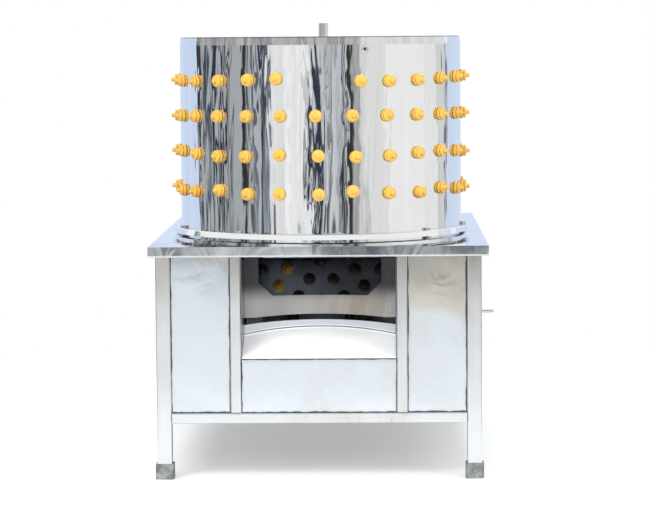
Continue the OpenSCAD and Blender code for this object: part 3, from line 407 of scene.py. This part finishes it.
def turned_finish(name, color, rough, metallic=1.0):
    """Machined, plated or painted steel with fine rings and small dull spots."""
    made = Finish(name, color, metallic, rough)
    ring = made.grain(500.0, (0.15, 0.15, 1), rough=0.6)
    spot = made.grain(60.0, detail=4.0, rough=0.65)
    made.drive("Normal", made.bump(ring, distance=0.00004, strength=0.6))
    made.drive("Roughness", made.spread(spot, rough * 0.8, rough * 1.5))
    made.cover(made.spread(spot, start=0.5, end=0.75), darker(color, 0.72))
    return made.material


def moulded_skin(name, color, rough, grit, scale):
    """Rubber, plastic or paint of one colour with a fine skin, and the cloud that varies its gloss."""
    made = Finish(name, color, metallic=0.0, rough=rough)
    skin = made.grain(scale, detail=3.0, rough=0.6)
    cloud = made.grain(26.0, detail=4.0, rough=0.6, twist=0.4)
    made.drive("Normal", made.bump(skin, grit, strength=0.7))
    made.drive("Roughness", made.spread(cloud, rough * 0.85, rough * 1.2))
    return made, cloud


def moulded_finish(name, color, rough, grit=0.00012, scale=300.0, shade=0.75):
    """Rubber, plastic or paint with a fine skin and soft cloudy shade."""
    made, cloud = moulded_skin(name, color, rough, grit, scale)
    made.cover(made.spread(cloud, start=0.4, end=0.75), darker(color, shade))
    return made


def foot_finish():
    """Weathered grey rubber, mottled with pale dust."""
    made, _ = moulded_skin("foot_rubber", FOOT, rough=0.75, grit=0.0005, scale=140.0)
    dust = made.grain(70.0, detail=5.0, rough=0.7, twist=0.6)
    made.cover(made.spread(dust, start=0.38, end=0.66), FOOT_DUST)
    return made.material


# Heads under the disc left out of the painted shade, so they show lit: the radius of their ring, and their
# angle from the front in degrees
LIT_HEADS = [(0.096, -38.57), (0.130, -36.0)]
LIT_HEAD_R = 0.0135
DISC_FADE = 0.001


def disc_rubber_finish():
    """Orange rubber, with painted shade darkening the heads under the disc, apart from two left lit."""
    made = moulded_finish("disc_rubber", RUBBER, rough=0.36, grit=0.000012, scale=260.0, shade=0.72)
    x, y, z = made.split(made.place)
    # Painted shade: the heads under the disc are darkened, in two dark tones
    shaded = made.spread(z, 1.0, 0.0, DISC_UNDER_Z - DISC_FADE, DISC_UNDER_Z + DISC_FADE)
    for radius, degrees in LIT_HEADS:
        turn = math.radians(degrees)
        aside = made.math("SUBTRACT", x, radius * math.sin(turn))
        behind = made.math("SUBTRACT", y, AXIS_Y - radius * math.cos(turn))
        away = made.distance(aside, behind)
        shaded = made.math("MULTIPLY", shaded, made.math("GREATER_THAN", away, LIT_HEAD_R))
    shade_tone = made.spread(made.grain(90.0, detail=4.0, rough=0.6))
    made.cover(shaded, made.mix(shade_tone, HEAD_SHADE_DARK, HEAD_SHADE_OLIVE))
    return made.material


def dress(finish, *nodes):
    """Gives one finish to some nodes of the frame."""
    for node in nodes:
        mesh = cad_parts[node].data
        mesh.materials.clear()
        mesh.materials.append(finish)


# Plain sheet: its finish's name, colour, stain, roughness, depth of waves and of creases, and grain
SHEETS = {
    "base_ring": ("ring_polish", STAINLESS, RING_STAIN, 0.10, 0.0010, 0.0002),
    "rotor_disc": ("disc_steel", DISC, DISC_STAIN, 0.22, 0.0010, 0.0002),
    "chamber_wall": ("inner_satin", CHAMBER, CHAMBER_STAIN, 0.28, 0.0030, 0.0006, UPRIGHT),
    # The chute's sides are darkened as painted shade
    "chute_sides": ("chute_satin", CHUTE_SIDE_SHADED, CHUTE_SIDE_STAIN, 0.28, 0.0030, 0.0006, UPRIGHT),
    "feather_slide": ("slide_polish", SLIDE, SLIDE_STAIN, 0.05, 0.0010, 0.0002),
}
for node, settings in SHEETS.items():
    dress(sheet_finish(*settings).material, node)
dress(drum_finish(), "drum")
dress(table_finish(), "table_top")
dress(chute_floor_finish(), "chute_floor")
dress(chute_back_finish(), "chute_back")

# Panels, each with its share of painted warm reflection
FRONT_REFLECTION = 1.0
SIDE_REFLECTION = 0.3
PANELS = {
    "front_left_panel": FRONT_REFLECTION,
    "front_right_panel": FRONT_REFLECTION,
    "front_lower_panel": FRONT_REFLECTION,
    "left_panel": SIDE_REFLECTION,
    "right_panel": SIDE_REFLECTION,
    "rear_panel": SIDE_REFLECTION,
}
for node, reflection_share in PANELS.items():
    dress(panel_finish(node, reflection_share), node)

# Square tube
LEGS = ["front_left_leg", "front_right_leg", "rear_left_leg", "rear_right_leg"]
dress(tube_finish("tube_upright", UPRIGHT), *LEGS, "front_posts")
dress(tube_finish("tube_across", ALONG_X), "front_rail", "rear_rail", "drive_beams", "motor_beams")
dress(tube_finish("tube_lengthwise", ALONG_Y), "side_rails", "top_rails", "mid_rails")

# Machined, plated and painted steel
pipe_bright = turned_finish("pipe_bright", (0.82, 0.83, 0.84), rough=0.34)
bolt_zinc = turned_finish("bolt_zinc", (0.86, 0.87, 0.88), rough=0.55)
zinc_plate = turned_finish("zinc_plate", (0.68, 0.69, 0.70), rough=0.28)
turned_steel = turned_finish("turned_steel", (0.62, 0.62, 0.63), rough=0.26)
painted_iron = turned_finish("painted_iron", (0.13, 0.145, 0.165), rough=0.45, metallic=0.2)
painted_plate = turned_finish("painted_plate", (0.07, 0.075, 0.08), rough=0.42, metallic=0.2)
weld_metal = turned_finish("weld_metal", (0.46, 0.43, 0.40), rough=0.38)
dress(pipe_bright, "water_pipe")
dress(bolt_zinc, "drum_bolts", "flange_spacers")
dress(zinc_plate, "hub_fasteners", "housing_bolts", "motor_bolts", "earth_stud")
dress(turned_steel, "disc_hub", "main_shaft", "shaft_keys", "bearings", "motor_shaft")
dress(painted_iron, "driven_pulley", "bearing_housing", "housing_cap", "drive_pulley")
dress(painted_plate, "motor_plate")

# Rubber, plastic and paint
rubber = moulded_finish("finger_rubber", RUBBER, 0.42, grit=0.000008, scale=140.0, shade=0.86).material
belt_rubber = moulded_finish("belt_rubber", (0.022, 0.022, 0.024), 0.65, grit=0.0003, scale=500.0).material
motor_paint = moulded_finish("motor_paint", (0.075, 0.09, 0.105), 0.36, grit=0.00015, scale=180.0).material
black_plastic = moulded_finish("black_plastic", (0.022, 0.023, 0.025), 0.42).material
green_plastic = moulded_finish("green_plastic", (0.02, 0.26, 0.06), 0.22, grit=0.00004).material
red_plastic = moulded_finish("red_plastic", (0.48, 0.02, 0.015), 0.22, grit=0.00004).material
dress(rubber, *(f"drum_fingers_{row + 1}" for row in range(ROWS)))
dress(disc_rubber_finish(), "disc_fingers")
dress(foot_finish(), "feet")
dress(belt_rubber, "drive_belts")
dress(motor_paint, "motor_shield", "motor_housing", "fan_cover", "terminal_box")
dress(black_plastic, "motor_fan", "switch_box", "cable_gland")
dress(green_plastic, "start_button")
dress(red_plastic, "stop_button")


# Small pieces: weld beads where tubes meet, and the eyelet under the drum's hem

def piece(name, mesh, material):
    """Adds a mesh as a piece of the frame."""
    for face in mesh.faces:
        face.smooth = True
    data = bpy.data.meshes.new(name)
    mesh.to_mesh(data)
    mesh.free()
    data.materials.append(material)
    made = bpy.data.objects.new(name, data)
    bpy.context.scene.collection.objects.link(made)
    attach(made, "frame")
    return made


def circle(mesh, middle, side, over, radius, count):
    """Points round a middle, in the plane of two directions."""
    points = []
    for k in range(count):
        turn = math.tau * k / count
        points.append(mesh.verts.new(middle + (side * math.cos(turn) + over * math.sin(turn)) * radius))
    return points


# A weld bead: points round it, length of a ripple and rings in it, bluntness of the ends, the ripple's
# depth and the tip's width as shares of the radius, and the gap left at each end of a seam
WELD_SIDES = 10
WELD_STEP = 0.0021
WELD_RINGS = 4
WELD_BLUNT = 8
WELD_RIPPLE = 0.18
WELD_TIP = 0.05
WELD_INSET = 0.001
RAIL_WELD_R = 0.0013
POST_WELD_R = 0.0011


def weld_bead(mesh, start, end, radius):
    """A bead of overlapping ripples along a line, half sunk in the seam it closes."""
    start, end = Vector(start), Vector(end)
    along = (end - start).normalized()
    side = along.orthogonal().normalized()
    over = along.cross(side)
    count = max(1, round((end - start).length / WELD_STEP)) * WELD_RINGS
    previous = None
    for i in range(count + 1):
        share = i / count
        taper = math.sqrt(max(0.0, 1 - (2 * share - 1) ** WELD_BLUNT))
        ripple = 1 - WELD_RIPPLE + WELD_RIPPLE * abs(math.sin(i / WELD_RINGS * math.pi))
        reach = radius * max(taper * ripple, WELD_TIP)
        ring = circle(mesh, start.lerp(end, share), side, over, reach, WELD_SIDES)
        if previous:
            for k in range(WELD_SIDES):
                after = (k + 1) % WELD_SIDES
                mesh.faces.new((previous[k], previous[after], ring[after], ring[k]))
        else:
            mesh.faces.new(list(reversed(ring)))
        previous = ring
    mesh.faces.new(previous)


def weld_group(name, lines, radius):
    mesh = bmesh.new()
    for start, end in lines:
        weld_bead(mesh, start, end, radius)
    piece(name, mesh, weld_metal)


def upright_welds(rail, depths):
    """Upright beads over a rail's height, at both sides of its box and at some depths."""
    low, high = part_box(rail)
    foot, top = low.z + WELD_INSET, high.z - WELD_INSET
    return [((x, y, foot), (x, y, top)) for x in (low.x, high.x) for y in depths]


def rail_welds():
    """Beads on the outer faces, where the lower rails meet the legs."""
    front_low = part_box("front_rail")[0]
    rear_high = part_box("rear_rail")[1]
    side_low, side_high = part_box("side_rails")
    lines = upright_welds("front_rail", [front_low.y])
    lines += upright_welds("rear_rail", [rear_high.y])
    lines += upright_welds("side_rails", [side_low.y, side_high.y])
    return lines


def post_welds():
    """Level beads where the two front posts stand on the front rail."""
    low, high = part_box("front_posts")
    panel_low, panel_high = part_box("front_lower_panel")
    posts = ((low.x, panel_low.x), (panel_high.x, high.x))
    return [((left + WELD_INSET, low.y, low.z), (right - WELD_INSET, low.y, low.z)) for left, right in posts]


weld_group("rail_welds", rail_welds(), RAIL_WELD_R)
weld_group("post_welds", post_welds(), POST_WELD_R)

# The eyelet's angle from the front, depth below the rim, and profile of radius and height above the wall
EYELET_TURN = math.radians(19)
EYELET_DROP = 0.0215
EYELET_STEPS = 32
EYELET_PROFILE = [
    (0.0000, 0.0002), (0.0026, 0.0002), (0.0030, 0.0007), (0.0036, 0.0018), (0.0046, 0.0023),
    (0.0058, 0.0020), (0.0068, 0.0011), (0.0072, 0.0000), (0.0066, -0.0008), (0.0000, -0.0008),
]


def drum_eyelet():
    """A rolled eyelet pressed through the sheet, its hole painted black as shade."""
    outward = Vector((math.sin(EYELET_TURN), -math.cos(EYELET_TURN), 0.0))
    sideways = Vector((math.cos(EYELET_TURN), math.sin(EYELET_TURN), 0.0))
    upward = Vector((0.0, 0.0, 1.0))
    seat = Vector((0.0, AXIS_Y, RIM_Z - EYELET_DROP)) + outward * DRUM_R
    mesh = bmesh.new()
    rings = []
    for radius, height in EYELET_PROFILE:
        middle = seat + outward * height
        if radius == 0:
            rings.append([mesh.verts.new(middle)])
        else:
            rings.append(circle(mesh, middle, sideways, upward, radius, EYELET_STEPS))
    for first, second in zip(rings, rings[1:]):
        for k in range(EYELET_STEPS):
            after = (k + 1) % EYELET_STEPS
            if len(first) == 1:
                mesh.faces.new((first[0], second[after], second[k])).material_index = 1
            elif len(second) == 1:
                mesh.faces.new((first[k], first[after], second[0]))
            else:
                mesh.faces.new((first[k], first[after], second[after], second[k]))
    bmesh.ops.recalc_face_normals(mesh, faces=mesh.faces)
    made = piece("drum_eyelet", mesh, pipe_bright)
    # Painted shade: the eyelet's hole takes the black plastic finish
    made.data.materials.append(black_plastic)


drum_eyelet()


# Stage: floor, reflected surroundings, lamps, camera

def bare_tree(owner):
    """The node tree of a material or a world, emptied."""
    made = Tree(owner)
    made.tree.nodes.clear()
    return made


def new_object(name, verts, faces, material):
    mesh = bpy.data.meshes.new(name)
    mesh.from_pydata(verts, [], faces)
    mesh.materials.append(material)
    made = bpy.data.objects.new(name, mesh)
    bpy.context.scene.collection.objects.link(made)
    return made


# The floor's lit tone, its own white for the camera and for mirrors, and where it fades to plain white
FLOOR_TONE = 0.62
FLOOR_GLOW = 0.40
FLOOR_MIRROR = 0.15
FLOOR_NEAR = 0.7
FLOOR_FAR = 1.6
FLOOR_HALF = 14.0
FLOOR_Z = -0.0004


def floor_material():
    """Pale floor: part of its white is its own, the rest is lit and takes the shadow."""
    made = bpy.data.materials.new("floor_white")
    made.cycles.emission_sampling = "NONE"
    tree = bare_tree(made)
    lit = tree.node("ShaderNodeBsdfDiffuse")
    fill(lit, {"Color": (*grey(FLOOR_TONE), 1.0)})
    path = tree.node("ShaderNodeLightPath").outputs
    shown = tree.math("MULTIPLY", path["Is Camera Ray"], FLOOR_GLOW)
    mirrored = tree.math("MULTIPLY", path["Is Glossy Ray"], FLOOR_MIRROR)
    glow = tree.node("ShaderNodeEmission")
    tree.link(tree.math("ADD", shown, mirrored), glow.inputs["Strength"])
    near = tree.node("ShaderNodeAddShader", lit.outputs[0], glow.outputs[0])
    far = tree.node("ShaderNodeEmission")
    place = tree.node("ShaderNodeTexCoord").outputs["Object"]
    away = tree.node("ShaderNodeVectorMath", place, operation="LENGTH").outputs["Value"]
    fade = tree.spread(away, start=FLOOR_NEAR, end=FLOOR_FAR, smooth=True)
    share = tree.math("MULTIPLY", fade, tree.seen_directly())
    both = tree.node("ShaderNodeMixShader", share, near.outputs[0], far.outputs[0])
    tree.node("ShaderNodeOutputMaterial", both.outputs[0])
    return made


FLOOR_CORNERS = [(x * FLOOR_HALF, y * FLOOR_HALF, FLOOR_Z) for x, y in ((-1, -1), (1, -1), (1, 1), (-1, 1))]
floor = new_object("floor", FLOOR_CORNERS, [(0, 1, 2, 3)], floor_material())

# A screen's streaks: how fine they are, and how they are drawn out upwards
STREAK_SCALE = 6.5
STREAK_STRETCH = (1, 1, 0.10)


def glow_material(name, dark, light, soft, level):
    """A screen's own light in streaks of two tones, upright or, on level ground, outwards from the middle."""
    made = bpy.data.materials.new(name)
    made.cycles.emission_sampling = "NONE"
    tree = bare_tree(made)
    place = tree.node("ShaderNodeTexCoord").outputs["Object"]
    if level:
        outwards = tree.node("ShaderNodeVectorMath", place, operation="NORMALIZE").outputs[0]
        streak = tree.noise(outwards, STREAK_SCALE)
    else:
        streak = tree.noise(place, STREAK_SCALE, STREAK_STRETCH)
    tone = tree.mix(tree.spread(streak, start=0.5 - soft, end=0.5 + soft), dark, light)
    glow = tree.node("ShaderNodeEmission", tone)
    tree.node("ShaderNodeOutputMaterial", glow.outputs[0])
    return made


def screen(name, edges, dark, light, soft, level=False):
    """A strip between two edges that shows in reflections alone."""
    verts = [point for pair in edges for point in pair]
    faces = [(2 * i - 2, 2 * i, 2 * i + 1, 2 * i - 1) for i in range(1, len(edges))]
    made = new_object(name, verts, faces, glow_material(name + "_tone", dark, light, soft, level))
    made.visible_camera = False
    made.visible_diffuse = False
    made.visible_shadow = False
    made.visible_transmission = False
    made.visible_volume_scatter = False


# Degrees between the points of a card and of the ground, the ground's height, and how far off they stand
CARD_STEP = 3
GROUND_STEP = 4
GROUND_Z = 0.002
SCREEN_FAR = 3.2
SCREEN_NEAR = 2.4


def arc(start, end, step):
    """Angles from the front, in radians, between two in degrees and about one step apart."""
    count = max(2, round((end - start) / step))
    return [math.radians(start + (end - start) * i / count) for i in range(count + 1)]


def card(name, start, end, low, high, dark, light, soft, distance=SCREEN_FAR):
    """An upright curved screen round the drum."""
    edges = []
    for turn in arc(start, end, CARD_STEP):
        x, y = distance * math.sin(turn), AXIS_Y - distance * math.cos(turn)
        edges.append(((x, y, low), (x, y, high)))
    screen(name, edges, dark, light, soft)


def ground(name, start, end, inner, outer, dark, light, soft):
    """A flat ring of streaks just above the floor, round the machine."""
    edges = []
    for turn in arc(start, end, GROUND_STEP):
        x, y = math.sin(turn), -math.cos(turn)
        edges.append(((outer * x, outer * y, GROUND_Z), (inner * x, inner * y, GROUND_Z)))
    screen(name, edges, dark, light, soft, level=True)


# Screens: start and end angle, dark and light tone of the streaks, and how softly these end
SCREEN_LOW = 0.0
SCREEN_HIGH = 1.05
BAND_HIGH = 1.48
PALE_BLUE = (0.71, 0.81, 0.99)
NAVY = (0.030, 0.038, 0.060)
SOOT = (0.036, 0.035, 0.034)
SCREENS = [
    (-180, -114, (0.63, 0.74, 0.94), PALE_BLUE, 0.2),
    (-114, -110, SOOT, grey(0.10), 0.1),
    (-110, -84, NAVY, grey(0.48, -0.05), 0.055),
    (-84, -60, SOOT, grey(0.45, -0.05), 0.055),
    (-60, -47, NAVY, (0.50, 0.54, 0.58), 0.055),
    (-47, -38, NAVY, (0.40, 0.44, 0.50), 0.06),
    (-38, -26, grey(0.74), grey(0.92), 0.15),
    (-26, -8, grey(0.80), grey(1.0), 0.15),
    (-8, 12, NAVY, grey(0.68, -0.02), 0.06),
    (12, 28, SOOT, (0.60, 0.63, 0.67), 0.06),
    (28, 34, grey(0.28), grey(0.52), 0.1),
    (34, 42, grey(0.54), grey(0.78), 0.1),
    (42, 55, grey(0.80, 0.01), grey(0.88), 0.15),
    (55, 92, grey(0.92, 0.01), grey(0.97), 0.2),
    (92, 106, grey(0.84), grey(0.92), 0.15),
    (106, 117, grey(0.62), grey(0.74), 0.15),
    (117, 119, grey(0.16), grey(0.26), 0.15),
    (119, 180, (0.65, 0.75, 0.94), PALE_BLUE, 0.2),
]
for number, (start, end, dark, light, soft) in enumerate(SCREENS):
    card(f"screen_{number}", start, end, SCREEN_LOW, SCREEN_HIGH, dark, light, soft)
card("band_left", -114, 36, SCREEN_HIGH, BAND_HIGH, grey(0.28, -0.03), grey(0.56), 0.1)
card("band_right", 36, 119, SCREEN_HIGH, BAND_HIGH, grey(0.72), grey(0.88), 0.15)

# Nearer and lower, what the table's edge and the tops of the panels reflect
LOW_EDGE = 0.175
LOW_TOP = 0.245
card("low_dark", -14, 14, LOW_EDGE, LOW_TOP, (0.05, 0.06, 0.085), (0.50, 0.52, 0.54), 0.07, SCREEN_NEAR)
card("low_pale", -14, 14, SCREEN_LOW, LOW_EDGE, (0.84, 0.83, 0.80), grey(0.96), 0.15, SCREEN_NEAR)

# What the drum and the panels reflect when they are seen from the sides and the back
GROUND_INNER = 1.0
GROUND_DARK = (0.10, 0.115, 0.14)
GROUND_LIGHT = (0.92, 0.94, 0.96)
ground("ground_streaks", 27, 333, GROUND_INNER, SCREEN_FAR, GROUND_DARK, GROUND_LIGHT, 0.10)

# The sky's soft light, the tones that it shows, and the upward part of a ray at which it turns grey
SKY_LIGHT = (0.93, 0.97, 1.0)
SKY_STRENGTH = 0.55
SKY_WHITE = (1.0, 1.0, 1.0)
SKY_OVERHEAD = (0.50, 0.53, 0.56)
OVERHEAD_START = 0.68
OVERHEAD_END = 0.97


def studio_world():
    """Soft light all round, which shows as plain white, and greyer overhead."""
    world = bpy.data.worlds.new("studio")
    tree = bare_tree(world)
    soft = tree.node("ShaderNodeBackground")
    fill(soft, {"Color": (*SKY_LIGHT, 1.0), "Strength": SKY_STRENGTH})
    height = tree.split(tree.node("ShaderNodeTexCoord").outputs["Generated"])[2]
    overhead = tree.spread(height, start=OVERHEAD_START, end=OVERHEAD_END, smooth=True)
    shown = tree.node("ShaderNodeBackground", tree.mix(overhead, SKY_WHITE, SKY_OVERHEAD))
    both = tree.node("ShaderNodeMixShader", tree.seen_directly(), soft.outputs[0], shown.outputs[0])
    tree.node("ShaderNodeOutputWorld", both.outputs[0])
    return world


bpy.context.scene.world = studio_world()


def lamp(name, place, aim, size, power):
    """A round lamp that mirrors don't show."""
    light = bpy.data.lights.new(name, "AREA")
    light.shape = "DISK"
    light.size = size
    light.energy = power
    made = bpy.data.objects.new(name, light)
    made.location = place
    made.rotation_euler = (Vector(aim) - Vector(place)).to_track_quat("-Z", "Y").to_euler()
    made.visible_glossy = False
    bpy.context.scene.collection.objects.link(made)


lamp("key", place=(-1.8, -3.2, 3.4), aim=(0, 0, 0.4), size=2.2, power=135)
lamp("front", place=(0.2, -3.7, 1.2), aim=(0, -0.3, 0.25), size=1.6, power=40)
lamp("fill", place=(2.6, -2.6, 2.2), aim=(0, 0, 0.4), size=2.5, power=60)
lamp("top", place=(0.2, 0.6, 3.6), aim=(0, 0, 0.4), size=3.0, power=90)

# Camera: where the photographer stood, from the photograph's straight edges
LENS = 144.2
SENSOR_W = 36.0
CLIP_END = 100.0
CAMERA_AT = Vector((0.1071, -4.7989, 0.7523))
PITCH = math.radians(4.866)
YAW = math.radians(1.243)
ROLL = math.radians(-0.428)


def photo_camera():
    ahead = Vector((-math.sin(YAW) * math.cos(PITCH), math.cos(YAW) * math.cos(PITCH), -math.sin(PITCH)))
    level_right = Vector((math.cos(YAW), math.sin(YAW), 0.0))
    level_up = level_right.cross(ahead)
    right = level_right * math.cos(ROLL) + level_up * math.sin(ROLL)
    up = level_up * math.cos(ROLL) - level_right * math.sin(ROLL)
    data = bpy.data.cameras.new("camera")
    data.lens = LENS
    data.sensor_width = SENSOR_W
    data.clip_end = CLIP_END
    made = bpy.data.objects.new("camera", data)
    made.matrix_world = Matrix.Translation(CAMERA_AT) @ Matrix((right, up, -ahead)).transposed().to_4x4()
    bpy.context.scene.collection.objects.link(made)
    return made


bpy.context.scene.camera = photo_camera()
bpy.context.scene.view_settings.view_transform = "Standard"
